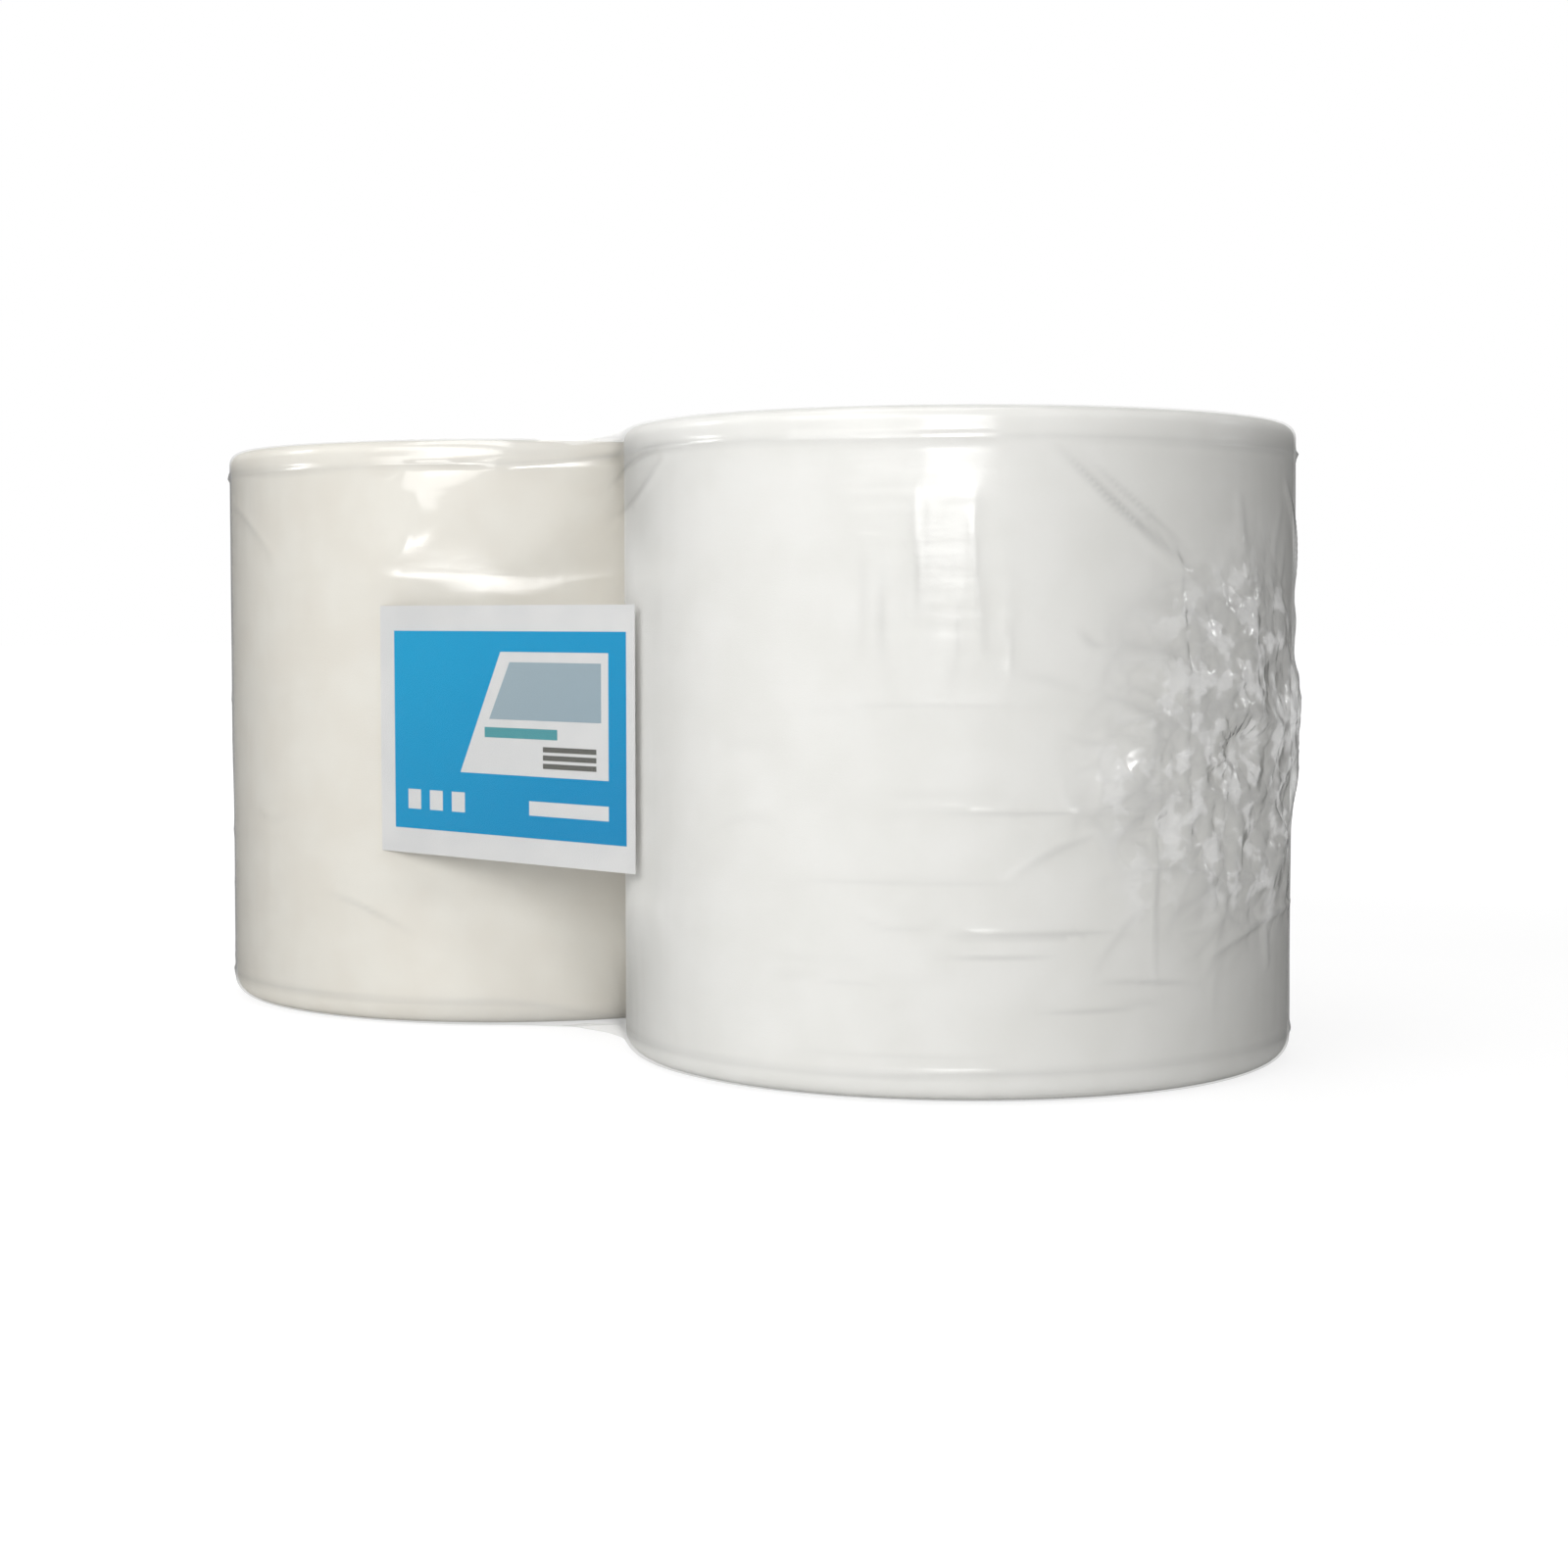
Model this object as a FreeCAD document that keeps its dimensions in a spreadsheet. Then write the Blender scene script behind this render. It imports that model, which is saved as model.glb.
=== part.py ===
"""Pack of two industrial paper rolls in clear shrink film, with a paper label in the front valley.

Frame: +Z up, +X along the row of rolls, -Y the label side. The origin is on the floor, midway
between the rolls. All sizes are in millimetres.
"""
import FreeCAD, Part
import math
import os
import re
import Sketcher

SIZES = [
    ("roll_diameter", 279.0, "outside diameter of a wound roll"),
    ("roll_width", 260.0, "width of the paper, so the height of a standing roll"),
    ("roll_gap", 0.3, "space between the two rolls where they meet"),
    ("rim_top", 5.0, "rounding of a roll's upper rim"),
    ("rim_base", 8.0, "rounding of a roll's lower rim, softened by its weight"),
    ("core_bore", 60.0, "clear bore of the cardboard core"),
    ("core_wall", 2.5, "wall of the cardboard core"),
    ("core_clearance", 0.2, "space between the core and the first turn"),
    ("core_inset", 1.5, "how far each end of the core lies inside the roll"),
    ("turn_start", 9.0, "paper between the bore and the first visible turn line"),
    ("turn_pitch", 20.0, "spacing of the visible turn lines"),
    ("turn_line", 1.4, "width of a turn line"),
    ("turn_depth", 0.8, "depth of a turn line"),
    ("film_wall", 0.4, "wall of the film"),
    ("film_gap", 0.3, "space between the film and what it wraps"),
    ("film_crease", 14.0, "radius of the film where it leaves a roll for the valley"),
    ("film_bend", 34.0, "radius of the film where it turns in above and below the label"),
    ("label_rest", 6.0, "flat film kept above and below the label"),
    ("valley_end_dip", 50.0, "depth of the valley at the top and bottom of the pack"),
    ("valley_back_dip", 15.0, "depth of the back valley at mid height"),
    ("label_width", 165.0, "width of the label"),
    ("label_height", 109.0, "height of the label"),
    ("label_raise", 2.3, "how far the label's centre lies above mid height"),
    ("label_shift", 3.0, "how far the label's centre lies left of the middle"),
    ("label_paper", 0.3, "thickness of the label paper"),
    ("label_ink", 0.1, "thickness of a printed field"),
    ("label_clearance", 0.3, "space between the label's side edges and the rolls"),
    ("print_left", 10.0, "bare margin at the left of the printed area"),
    ("print_right", 5.0, "bare margin at the right of the printed area"),
    ("print_edge", 11.0, "bare margin above and below the printed area"),
    ("gather_eye", 5.0, "radius of the small eye left at the centre of the gathers"),
    ("gather_start", 11.0, "distance from the centre at which the pleats start"),
    ("gather_reach", 82.0, "distance from the centre at which the longer pleats end"),
    ("gather_height", 6.0, "height of a pleat near the centre"),
    ("gather_width", 14.0, "greatest width of a pleat"),
    ("fold_rim", 19.0, "how far short of the rims the long folds end"),
    ("fold_height", 3.0, "height of a long fold"),
]
TURN_LINES = 5
# The gathers: how many pleats, which of them are long folds, and how much one differs from the next.
PLEATS = 18
LONG_FOLDS = (3, 6, 12, 15)
PLEAT_STATIONS = 4
PLEAT_SHARE = 0.70
PLEAT_SWING = 5.0
PLEAT_SINK = 1.0
PLEAT_FADE = 0.8
PLEAT_SWELL_START = 0.12
PLEAT_SWELL_SPAN = 0.78
SWAY_STEP = 2.4
REACH_STEP = 3.1
REACH_SPREAD = 0.2
CREST_SPREAD = 0.15

doc = FreeCAD.newDocument("RollPack")
sheet = doc.addObject("Spreadsheet::Sheet", "Sizes")
for row, (alias, value, note) in enumerate(SIZES, start=1):
    sheet.set(f"A{row}", note)
    sheet.set(f"B{row}", str(value))
    sheet.setAlias(f"B{row}", alias)
doc.recompute()
ALIAS = re.compile(r"\b(" + "|".join(entry[0] for entry in SIZES) + r")\b")

# Places that several pieces share, as formulas of the sheet's names.
HALF_PITCH = "(roll_diameter + roll_gap) / 2"
ROLL_BASE = "(film_wall + film_gap)"
CORE_RADIUS = "(core_bore / 2 + core_wall)"
BORE_RADIUS = f"({CORE_RADIUS} + core_clearance)"
MID_HEIGHT = f"({ROLL_BASE} + roll_width / 2)"
LABEL_CENTRE = f"({MID_HEIGHT} + label_raise)"
PRINT_WIDTH = "(label_width - print_left - print_right)"
PRINT_HEIGHT = "(label_height - 2 * print_edge)"
LABEL_BACK = (
    "(sqrt((roll_diameter / 2) ^ 2"
    " - ((roll_diameter + roll_gap - label_width) / 2 - label_shift) ^ 2)"
    " + label_clearance)"
)
LABEL_FRONT = f"({LABEL_BACK} + label_paper)"
INK_FRONT = f"({LABEL_FRONT} + label_ink)"
INNER_SKIN = "film_gap"
OUTER_SKIN = "(film_gap + film_wall)"


def size(alias):
    """The sheet's number for one alias."""
    return float(sheet.get(alias))


def bound(formula):
    """A formula of the sheet's names, written as FreeCAD reads it."""
    return ALIAS.sub(r"Sizes.\1", str(formula))


def number(formula):
    """The value of a formula of the sheet's names."""
    value = sheet.evalExpression(bound(formula))
    return float(getattr(value, "Value", value))


def bind(item, path, formula):
    """Drive one property of an object by a formula."""
    item.setExpression(path, bound(formula))


def origin_part(body, role):
    """One of a body's own origin planes or axes."""
    return next(part for part in body.Origin.OriginFeatures if part.Role == role)


def new_body(name):
    """An empty PartDesign body whose Label is its node's name."""
    body = doc.addObject("PartDesign::Body", name)
    body.Label = name
    return body


def new_sketch(body, name, plane, lift=None):
    """A sketch on a body's origin plane, lifted off it by a formula if one is given."""
    sketch = body.newObject("Sketcher::SketchObject", name)
    sketch.AttachmentSupport = [(origin_part(body, plane), "")]
    sketch.MapMode = "FlatFace"
    if lift is not None:
        bind(sketch, "AttachmentOffset.Base.z", lift)
    return sketch


def pin_point(sketch, edge, end, across, up):
    """Hold one end of a sketch edge at a place given by two formulas."""
    for kind, formula in (("DistanceX", across), ("DistanceY", up)):
        held = sketch.addConstraint(Sketcher.Constraint(kind, -1, 1, edge, end, number(formula)))
        bind(sketch, f"Constraints[{held}]", formula)


def add_circle(sketch, across, up, radius):
    """A circle with its centre and radius driven by formulas."""
    centre = FreeCAD.Vector(number(across), number(up), 0)
    circle = sketch.addGeometry(Part.Circle(centre, FreeCAD.Vector(0, 0, 1), number(radius)))
    if across == up == "0":
        sketch.addConstraint(Sketcher.Constraint("Coincident", circle, 3, -1, 1))
    else:
        pin_point(sketch, circle, 3, across, up)
    held = sketch.addConstraint(Sketcher.Constraint("Radius", circle, number(radius)))
    bind(sketch, f"Constraints[{held}]", radius)


def add_polygon(sketch, corners):
    """A closed outline of straight lines through corners given as pairs of formulas."""
    points = [FreeCAD.Vector(number(across), number(up), 0) for across, up in corners]
    edges = []
    for start, stop in zip(points, points[1:] + points[:1]):
        edges.append(sketch.addGeometry(Part.LineSegment(start, stop)))
    for edge, follower in zip(edges, edges[1:] + edges[:1]):
        sketch.addConstraint(Sketcher.Constraint("Coincident", edge, 2, follower, 1))
    for edge, (across, up) in zip(edges, corners):
        pin_point(sketch, edge, 1, across, up)
    return edges


def add_pad(body, sketch, name, length):
    """Pad a sketch by a formula's length, along its normal."""
    pad = body.newObject("PartDesign::Pad", name)
    pad.Profile = sketch
    bind(pad, "Length", length)
    return pad


def add_fillet(body, base, name, radius, chosen):
    """Round the edges of a feature that a test picks out."""
    doc.recompute()
    names = [f"Edge{place}" for place, edge in enumerate(base.Shape.Edges, 1) if chosen(edge)]
    fillet = body.newObject("PartDesign::Fillet", name)
    fillet.Base = (base, names)
    bind(fillet, "Radius", radius)
    return fillet


def middle(edge):
    """The point half way along an edge."""
    return edge.valueAt((edge.FirstParameter + edge.LastParameter) / 2)


def level_edge(height):
    """A test for edges that lie flat at one height."""
    return lambda edge: all(abs(z - height) < 1e-4 for z in (edge.BoundBox.ZMin, edge.BoundBox.ZMax))


def add_turn_lines(body, name, lift, reversed_cut):
    """Ring grooves in one end face that show the wound turns."""
    sketch = new_sketch(body, f"{name}_rings", "XY_Plane", lift)
    for turn in range(TURN_LINES):
        inner = f"{BORE_RADIUS} + turn_start + turn_pitch * {turn}"
        add_circle(sketch, "0", "0", inner)
        add_circle(sketch, "0", "0", f"{inner} + turn_line")
    pocket = body.newObject("PartDesign::Pocket", name)
    pocket.Profile = sketch
    pocket.Reversed = reversed_cut
    bind(pocket, "Length", "turn_depth")
    return pocket


def stand(item, side):
    """Stand a piece on the axis of the left (-1) or right (+1) roll."""
    bind(item, "Placement.Base.x", f"{side} * {HALF_PITCH}")
    bind(item, "Placement.Base.z", ROLL_BASE)


def make_roll(name, side):
    """One wound roll: a ring of paper with soft rims and its turns showing at both ends."""
    body = new_body(name)
    sketch = new_sketch(body, f"{name}_section", "XY_Plane")
    add_circle(sketch, "0", "0", "roll_diameter / 2")
    add_circle(sketch, "0", "0", BORE_RADIUS)
    wound = add_pad(body, sketch, f"{name}_wound", "roll_width")

    def rim(height):
        level = level_edge(height)
        return lambda edge: level(edge) and edge.BoundBox.XLength > size("roll_diameter") - 1

    soft = add_fillet(body, wound, f"{name}_top_rim", "rim_top", rim(size("roll_width")))
    add_fillet(body, soft, f"{name}_base_rim", "rim_base", rim(0.0))
    add_turn_lines(body, f"{name}_top_turns", "roll_width", False)
    add_turn_lines(body, f"{name}_base_turns", "0", True)
    stand(body, side)
    return body


def make_core(name, side):
    """The cardboard tube that one roll is wound on."""
    body = new_body(name)
    sketch = new_sketch(body, f"{name}_section", "XY_Plane", "core_inset")
    add_circle(sketch, "0", "0", CORE_RADIUS)
    add_circle(sketch, "0", "0", "core_bore / 2")
    add_pad(body, sketch, f"{name}_tube", "roll_width - 2 * core_inset")
    stand(body, side)
    return body


def make_label():
    """The flat paper label, held against both rolls."""
    sheet_of_paper = doc.addObject("Part::Box", "label_sheet")
    sheet_of_paper.Label = "label_sheet"
    bind(sheet_of_paper, "Length", "label_width")
    bind(sheet_of_paper, "Width", "label_paper")
    bind(sheet_of_paper, "Height", "label_height")
    bind(sheet_of_paper, "Placement.Base.x", "-label_width / 2 - label_shift")
    bind(sheet_of_paper, "Placement.Base.y", f"-{LABEL_FRONT}")
    bind(sheet_of_paper, "Placement.Base.z", f"{LABEL_CENTRE} - label_height / 2")
    return sheet_of_paper


def print_box(left, right, low, high):
    """Corners of an upright rectangle, as shares of the printed area measured from its centre."""
    return [(left, low), (right, low), (right, high), (left, high)]


def make_print(name, outlines):
    """A printed field: outlines of shares of the printed area, padded as ink on the label."""
    body = new_body(name)
    sketch = new_sketch(body, f"{name}_outline", "XZ_Plane")
    for outline in outlines:
        corners = [(f"{PRINT_WIDTH} * {across}", f"{PRINT_HEIGHT} * {up}") for across, up in outline]
        add_polygon(sketch, corners)
    add_pad(body, sketch, f"{name}_ink", "label_ink")
    bind(body, "Placement.Base.x", "(print_left - print_right) / 2 - label_shift")
    bind(body, "Placement.Base.y", f"-{LABEL_FRONT}")
    bind(body, "Placement.Base.z", LABEL_CENTRE)
    return body


def film_form(name, skin):
    """The pack's outside at a given skin over the rolls: two drums and the valleys between them."""
    body = new_body(name)
    base = f"({ROLL_BASE} - {skin})"
    height = f"(roll_width + 2 * {skin})"
    radius = f"(roll_diameter / 2 + {skin})"
    top = f"({base} + {height})"
    deep = f"({radius} - valley_end_dip)"
    front = f"({INK_FRONT} + {skin})"
    low = f"({LABEL_CENTRE} - label_height / 2 - label_rest)"
    high = f"({LABEL_CENTRE} + label_height / 2 + label_rest)"
    rise = "(valley_end_dip - valley_back_dip)"

    web_sketch = new_sketch(body, f"{name}_web_profile", "YZ_Plane")
    front_side = [
        (f"-{deep}", base), (f"{deep}", base), (f"{deep}", top),
        (f"-{deep}", top), (f"-{front}", high), (f"-{front}", low),
    ]
    edges = add_polygon(web_sketch, front_side)
    back_edge = edges[1]
    web_sketch.toggleConstruction(back_edge)
    start = FreeCAD.Vector(number(deep), number(base), 0)
    crown = FreeCAD.Vector(number(f"{deep} + {rise}"), number(f"({base} + {top}) / 2"), 0)
    stop = FreeCAD.Vector(number(deep), number(top), 0)
    arc = web_sketch.addGeometry(Part.Arc(start, crown, stop))
    web_sketch.addConstraint(Sketcher.Constraint("Coincident", arc, 1, back_edge, 1))
    web_sketch.addConstraint(Sketcher.Constraint("Coincident", arc, 2, back_edge, 2))
    bow = f"(({height} / 2) ^ 2 + {rise} ^ 2) / (2 * {rise})"
    held = web_sketch.addConstraint(Sketcher.Constraint("Radius", arc, number(bow)))
    bind(web_sketch, f"Constraints[{held}]", bow)
    web = add_pad(body, web_sketch, f"{name}_web", f"2 * {HALF_PITCH}")
    web.SideType = "Symmetric"

    def label_bend(edge):
        point = middle(edge)
        return abs(point.x) < 1 and point.y < 0 and abs(point.y + number(front)) < 1e-3

    shape = add_fillet(body, web, f"{name}_label_bends", "film_bend", label_bend)
    for side in (-1, 1):
        place = "right" if side > 0 else "left"
        drum_sketch = new_sketch(body, f"{name}_{place}_circle", "XY_Plane", base)
        add_circle(drum_sketch, f"{side} * {HALF_PITCH}", "0", radius)
        shape = add_pad(body, drum_sketch, f"{name}_{place}_drum", height)

    half_pitch = number(HALF_PITCH)
    drum_radius = number(radius)
    floor_height = number(base)
    top_height = number(top)

    def valley_crease(edge):
        point = middle(edge)
        off_drum = math.hypot(abs(point.x) - half_pitch, point.y) - drum_radius
        inside = abs(point.x) < half_pitch - 1 and abs(point.y) > 1
        return inside and abs(off_drum) < 1e-2 and floor_height + 1 < point.z < top_height - 1

    shape = add_fillet(body, shape, f"{name}_creases", "film_crease", valley_crease)
    shape = add_fillet(body, shape, f"{name}_shoulder", f"rim_top + {skin}", level_edge(top_height))
    add_fillet(body, shape, f"{name}_foot", f"rim_base + {skin}", level_edge(floor_height))
    return body


def on_drum(side, around, up, off):
    """A point at the end of the pack: arc length around the drum, height, and distance off its axis."""
    turn = around / (size("roll_diameter") / 2)
    across = number(HALF_PITCH) + off * math.cos(turn)
    return FreeCAD.Vector(side * across, side * off * math.sin(turn), number(MID_HEIGHT) + up)


def make_pleat(side, bearing, sway, reach, crest):
    """One gathered fold of bunched film: a ridge that runs out from the eye, swings and fades."""
    surface = size("roll_diameter") / 2 + number(OUTER_SKIN)
    start = size("gather_start")
    sections = []
    for station in range(PLEAT_STATIONS + 1):
        part_way = station / PLEAT_STATIONS
        distance = start + (reach - start) * part_way
        along = math.radians(bearing + PLEAT_SWING * sway * part_way)
        crowding = PLEAT_SHARE * math.pi * distance / PLEATS
        swell = math.sin(math.pi * (PLEAT_SWELL_START + PLEAT_SWELL_SPAN * part_way))
        half = min(size("gather_width") / 2 * swell, crowding)
        ridge = (crest + PLEAT_SINK) * (1 - part_way) ** PLEAT_FADE - PLEAT_SINK / 2
        lean = sway * half / 2
        corners = []
        for beside, lift in ((-half, -PLEAT_SINK), (half, -PLEAT_SINK), (lean, ridge)):
            around = distance * math.cos(along) - beside * math.sin(along)
            up = distance * math.sin(along) + beside * math.cos(along)
            corners.append(on_drum(side, around, up, surface + lift))
        sections.append(Part.makePolygon(corners + corners[:1]))
    return Part.makeLoft(sections, True, True)


def make_gathers():
    """The pleats of both gathered ends, with a few long folds among them that run out to the rims."""
    pleats = []
    for side in (-1, 1):
        for place in range(PLEATS):
            sway = math.sin(SWAY_STEP * place + side)
            longer = REACH_SPREAD * (math.cos(REACH_STEP * place + side) - 1)
            higher = CREST_SPREAD * (math.sin(SWAY_STEP * place) - 1)
            reach = size("gather_reach") * (1 + longer)
            crest = size("gather_height") * (1 + higher)
            bearing = 360 / PLEATS * place
            if place in LONG_FOLDS:
                rise = size("roll_width") / 2 - size("fold_rim")
                reach = rise / abs(math.sin(math.radians(bearing)))
                crest = size("fold_height")
            pleats.append(make_pleat(side, bearing, sway, reach, crest))
    gathers = doc.addObject("Part::Feature", "film_gathers")
    gathers.Shape = Part.makeCompound(pleats)
    return gathers


def make_film():
    """The clear shrink film: a thin shell over both rolls, gathered round an eye at each end."""
    gathered = doc.addObject("Part::Fuse", "film_gathered")
    gathered.Refine = False
    gathered.Base = film_form("film_outside", OUTER_SKIN)
    gathered.Tool = make_gathers()
    shell = doc.addObject("Part::Cut", "film_shell")
    shell.Refine = False
    shell.Base = gathered
    shell.Tool = film_form("film_inside", INNER_SKIN)
    eyes = doc.addObject("Part::Cylinder", "film_eyes")
    half_length = f"({HALF_PITCH} + roll_diameter / 2 + gather_height + {OUTER_SKIN})"
    bind(eyes, "Radius", "gather_eye")
    bind(eyes, "Height", f"2 * {half_length}")
    eyes.Placement.Rotation = FreeCAD.Rotation(FreeCAD.Vector(0, 1, 0), 90)
    bind(eyes, "Placement.Base.x", f"-{half_length}")
    bind(eyes, "Placement.Base.z", MID_HEIGHT)
    film = doc.addObject("Part::Cut", "shrink_film")
    film.Label = "shrink_film"
    film.Refine = False
    film.Base = shell
    film.Tool = eyes
    return film


WHITE_PANEL = [(-0.02, 0.40), (0.43, 0.40), (0.43, -0.20), (-0.20, -0.20)]
PALE_SQUARES = [print_box(left, left + 0.06, -0.40, -0.30) for left in (-0.44, -0.34, -0.24)]
PALE_STRIP = print_box(0.10, 0.43, -0.39, -0.32)
GREY_FIELD = [(0.02, 0.35), (0.40, 0.35), (0.40, 0.07), (-0.07, 0.07)]
TEAL_BAR = print_box(-0.09, 0.22, -0.02, 0.03)
DARK_BARS = [print_box(0.16, 0.38, low, low + 0.025) for low in (-0.16, -0.12, -0.08)]

pieces = []
for side_name, side in (("left", -1), ("right", 1)):
    pieces.append(make_roll(f"{side_name}_roll", side))
    pieces.append(make_core(f"{side_name}_core", side))
pieces.append(make_label())
blue = [print_box(-0.5, 0.5, -0.5, 0.5), WHITE_PANEL, PALE_STRIP] + PALE_SQUARES
pieces.append(make_print("label_blue_print", blue))
pieces.append(make_print("label_grey_print", [GREY_FIELD]))
pieces.append(make_print("label_teal_print", [TEAL_BAR]))
pieces.append(make_print("label_dark_print", DARK_BARS))
pieces.append(make_film())
doc.recompute()

for item in doc.Objects:
    if "Invalid" in item.State or "Error" in item.State:
        raise RuntimeError(f"{item.Label} failed: {item.State}")
for piece in pieces:
    if piece.Shape.isNull() or not piece.Shape.isValid():
        raise RuntimeError(f"{piece.Label} has no valid shape")

os.makedirs("parts", exist_ok=True)
for piece in pieces:
    piece.Shape.exportStep(f"parts/{piece.Label}.step")
    print(f"{piece.Label}: {len(piece.Shape.Solids)} solids, {piece.Shape.Volume / 1000:.1f} cm3")
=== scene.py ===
"""Looks of a pack of two industrial paper rolls in clear shrink film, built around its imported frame.

The frame's axes hold here too: +X along the row of rolls, -Y the label side, +Z up, with the origin
on the floor midway between the rolls. All lengths are in metres.
"""
import logging
import math
from collections.abc import Callable, Sequence
from dataclasses import dataclass, replace
from enum import Enum

import bpy
import numpy as np
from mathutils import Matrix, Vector, noise


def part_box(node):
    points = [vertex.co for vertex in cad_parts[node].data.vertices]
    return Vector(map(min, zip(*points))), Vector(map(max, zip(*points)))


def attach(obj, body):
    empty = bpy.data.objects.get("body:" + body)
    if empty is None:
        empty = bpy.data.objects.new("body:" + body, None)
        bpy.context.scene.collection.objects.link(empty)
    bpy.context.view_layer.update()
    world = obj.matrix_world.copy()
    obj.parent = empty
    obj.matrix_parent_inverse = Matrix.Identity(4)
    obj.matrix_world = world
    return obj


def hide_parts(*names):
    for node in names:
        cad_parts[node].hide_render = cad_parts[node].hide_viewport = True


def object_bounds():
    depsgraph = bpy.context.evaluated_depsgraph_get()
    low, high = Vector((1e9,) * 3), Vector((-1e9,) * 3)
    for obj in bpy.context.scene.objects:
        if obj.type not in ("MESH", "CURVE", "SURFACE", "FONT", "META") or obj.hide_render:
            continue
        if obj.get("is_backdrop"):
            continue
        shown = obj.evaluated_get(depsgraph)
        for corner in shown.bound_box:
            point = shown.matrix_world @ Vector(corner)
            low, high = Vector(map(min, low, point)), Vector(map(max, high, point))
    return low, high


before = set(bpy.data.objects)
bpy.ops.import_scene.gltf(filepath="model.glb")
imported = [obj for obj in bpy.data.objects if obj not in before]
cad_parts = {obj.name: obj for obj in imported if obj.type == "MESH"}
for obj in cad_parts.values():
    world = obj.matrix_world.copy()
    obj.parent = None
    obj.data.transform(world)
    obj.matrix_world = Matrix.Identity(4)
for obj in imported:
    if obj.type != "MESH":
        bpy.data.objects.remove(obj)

Colour = tuple[float, float, float]
Place = tuple[float, float, float]
Inputs = dict[str | int, object]
Array = np.ndarray
Fibre = bpy.types.ShaderNodeTree
Material = bpy.types.Material
Piece = bpy.types.Object
LOG = logging.getLogger("roll_pack")
MM = 0.001
# Two points nearer than this are one, and edges sharper than this stay sharp.
SAME_PLACE = 1e-5
SHARP_EDGE = math.radians(40)


class Side(Enum):
    """Which roll a piece belongs to, as the sign of its X."""

    LEFT = -1
    RIGHT = 1


class End(Enum):
    """Which end of a standing roll, as the sign of its normal along Z."""

    BASE = -1
    TOP = 1


class Part(Enum):
    """What is selected in edit mode, as the mesh's name for it."""

    FACE = "polygons"
    EDGE = "edges"


# ---------------------------------------------------------------- working on meshes


def deselect_all() -> None:
    """Leave no object selected."""
    for item in bpy.context.selected_objects:
        item.select_set(False)


def add_piece(name: str, primitive: Callable[..., set[str]], **sizes: object) -> Piece:
    """Add a primitive, with its place in its mesh.

    Args:
        name: the piece's name.
        primitive: the operator that adds it.
        sizes: what the operator is given.

    Returns:
        The piece, active and alone in the selection.
    """
    deselect_all()
    primitive(**sizes)
    piece = bpy.context.object
    piece.name = name
    piece.data.name = name
    bpy.ops.object.transform_apply(location=True)
    return piece


def leave_edit() -> None:
    """Go back from edit mode."""
    bpy.ops.object.mode_set(mode="OBJECT")


def open_marked(piece: Piece, part: Part, marks: Sequence[bool]) -> None:
    """Open a piece in edit mode with only some of its faces or edges selected.

    Args:
        piece: the piece to open.
        part: what is selected.
        marks: for each face or edge, whether it is selected.
    """
    bpy.context.view_layer.objects.active = piece
    bpy.ops.object.mode_set(mode="EDIT")
    bpy.ops.mesh.select_mode(type=part.name)
    bpy.ops.mesh.select_all(action="DESELECT")
    leave_edit()
    getattr(piece.data, part.value).foreach_set("select", marks)
    bpy.ops.object.mode_set(mode="EDIT")


def pick(piece: Piece, part: Part, wanted: Callable[[Vector, Vector], bool]) -> None:
    """Open a piece in edit mode with some of its faces or edges selected.

    Args:
        piece: the piece to open.
        part: what is selected.
        wanted: takes a face's centre and normal or an edge's two ends, and says whether it is selected.
    """
    mesh = piece.data
    if part is Part.FACE:
        pairs = [(face.center, face.normal) for face in mesh.polygons]
    else:
        pairs = [[mesh.vertices[corner].co for corner in edge.vertices] for edge in mesh.edges]
    open_marked(piece, part, [wanted(*pair) for pair in pairs])


def refine_marked(piece: Piece, marks: Array, cuts: int) -> None:
    """Divide some of a piece's faces more finely.

    Args:
        piece: the piece.
        marks: True for each face to divide.
        cuts: how many cuts each of their edges gets.
    """
    open_marked(piece, Part.FACE, marks)
    bpy.ops.mesh.subdivide(number_cuts=cuts, smoothness=1.0)
    leave_edit()


def close_piece(piece: Piece, smooth_angle: float) -> None:
    """Put a piece's place into its mesh, smooth it and ride it on the pack.

    Args:
        piece: the finished piece.
        smooth_angle: edges sharper than this, in radians, stay sharp.
    """
    leave_edit()
    deselect_all()
    piece.select_set(True)
    bpy.context.view_layer.objects.active = piece
    bpy.ops.object.transform_apply(location=True, rotation=True, scale=True)
    bpy.ops.object.shade_smooth_by_angle(angle=smooth_angle)
    deselect_all()
    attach(piece, "root")


def read_rows(items: bpy.types.bpy_prop_collection, name: str) -> Array:
    """One row of three numbers for each of a mesh's items, such as its faces' centres."""
    rows = np.empty(len(items) * 3)
    items.foreach_get(name, rows)
    return rows.reshape(-1, 3)


def read_points(piece: Piece) -> Array:
    """The places of a mesh's vertices."""
    return read_rows(piece.data.vertices, "co")


def read_normals(piece: Piece) -> Array:
    """The normals of a mesh's vertices."""
    return read_rows(piece.data.vertex_normals, "vector")


def write_points(piece: Piece, places: Array) -> None:
    """Move a mesh's vertices to new places."""
    piece.data.vertices.foreach_set("co", places.ravel())
    piece.data.update()


def soft_noise(places: Array, scale: float | Place, seed: float) -> Array:
    """Smooth noise at many places.

    Args:
        places: one row for each place.
        scale: how fast the noise varies, per metre, or how fast along each axis.
        seed: a shift that gives another pattern.

    Returns:
        A value from about -1 to 1 for each place.
    """
    spread = places * np.array(scale) + seed
    return np.array([noise.noise(Vector(place)) for place in spread.tolist()])


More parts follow.
